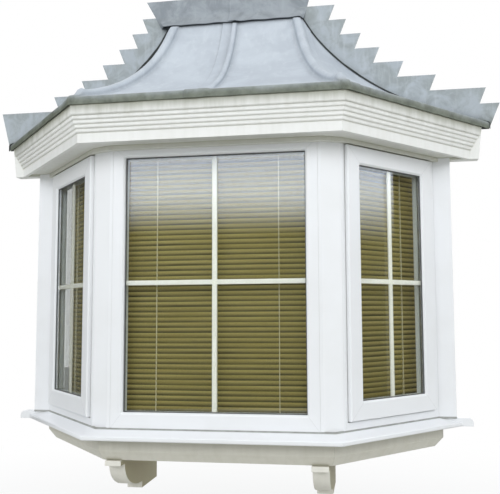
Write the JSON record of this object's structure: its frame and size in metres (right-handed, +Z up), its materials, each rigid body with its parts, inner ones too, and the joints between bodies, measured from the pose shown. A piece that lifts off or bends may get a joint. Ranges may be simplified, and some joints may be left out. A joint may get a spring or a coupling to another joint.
{
  "type": "canted bay window with a swept lead roof, on corbels",
  "caption": "White canted bay window with a fixed front light, side casements with blinds, a reeded cornice, and a swept lead roof, carried on corbels.",
  "frame": {"origin": "centre of the base panel's back face, on the wall plane", "axes": "+X to the right seen from outside, +Y into the wall, +Z up; the bay projects toward -Y"},
  "size_m": [2.4602, 0.632, 2.335],
  "materials": {
    "upvc": "smooth white window plastic",
    "painted_trim": "off-white paint, satin",
    "lead": "dull weathered lead sheet",
    "glass": "clear sealed unit",
    "timber": "sawn softwood and ply",
    "blind": "coated slats"
  },
  "bodies": {
    "root": {"apron_flashing": "lead", "base_front": "painted_trim", "base_left": "painted_trim", "base_panel": "timber", "base_right": "painted_trim", "blind_left": "blind", "blind_right": "blind", "centre_roll": "lead", "corbel_left": "painted_trim", "corbel_right": "painted_trim", "corner_post_left": "upvc", "corner_post_right": "upvc", "cornice_end_left": "painted_trim", "cornice_end_right": "painted_trim", "cornice_front": "painted_trim", "cornice_left": "painted_trim", "cornice_right": "painted_trim", "deck_front": "timber", "deck_left": "timber", "deck_right": "timber", "frame_left": "upvc", "frame_right": "upvc", "front_blind": "blind", "front_frame": "upvc", "front_glass": "glass", "head_board": "painted_trim", "head_trim_front": "painted_trim", "head_trim_left": "painted_trim", "head_trim_right": "painted_trim", "hip_roll_left": "lead", "hip_roll_right": "lead", "lead_front_left": "lead", "lead_front_right": "lead", "lead_side_left": "lead", "lead_side_right": "lead", "rib_centre": "timber", "rib_left": "timber", "rib_right": "timber", "sash_glass_left": "glass", "sash_glass_right": "glass", "sash_left": "upvc", "sash_right": "upvc", "sill_end_left": "upvc", "sill_end_right": "upvc", "sill_front": "upvc", "sill_left": "upvc", "sill_right": "upvc", "step_flashing_left": "lead", "step_flashing_right": "lead", "wall_post_left": "upvc", "wall_post_right": "upvc", "window_board": "painted_trim"}
  },
  "joints": []
}
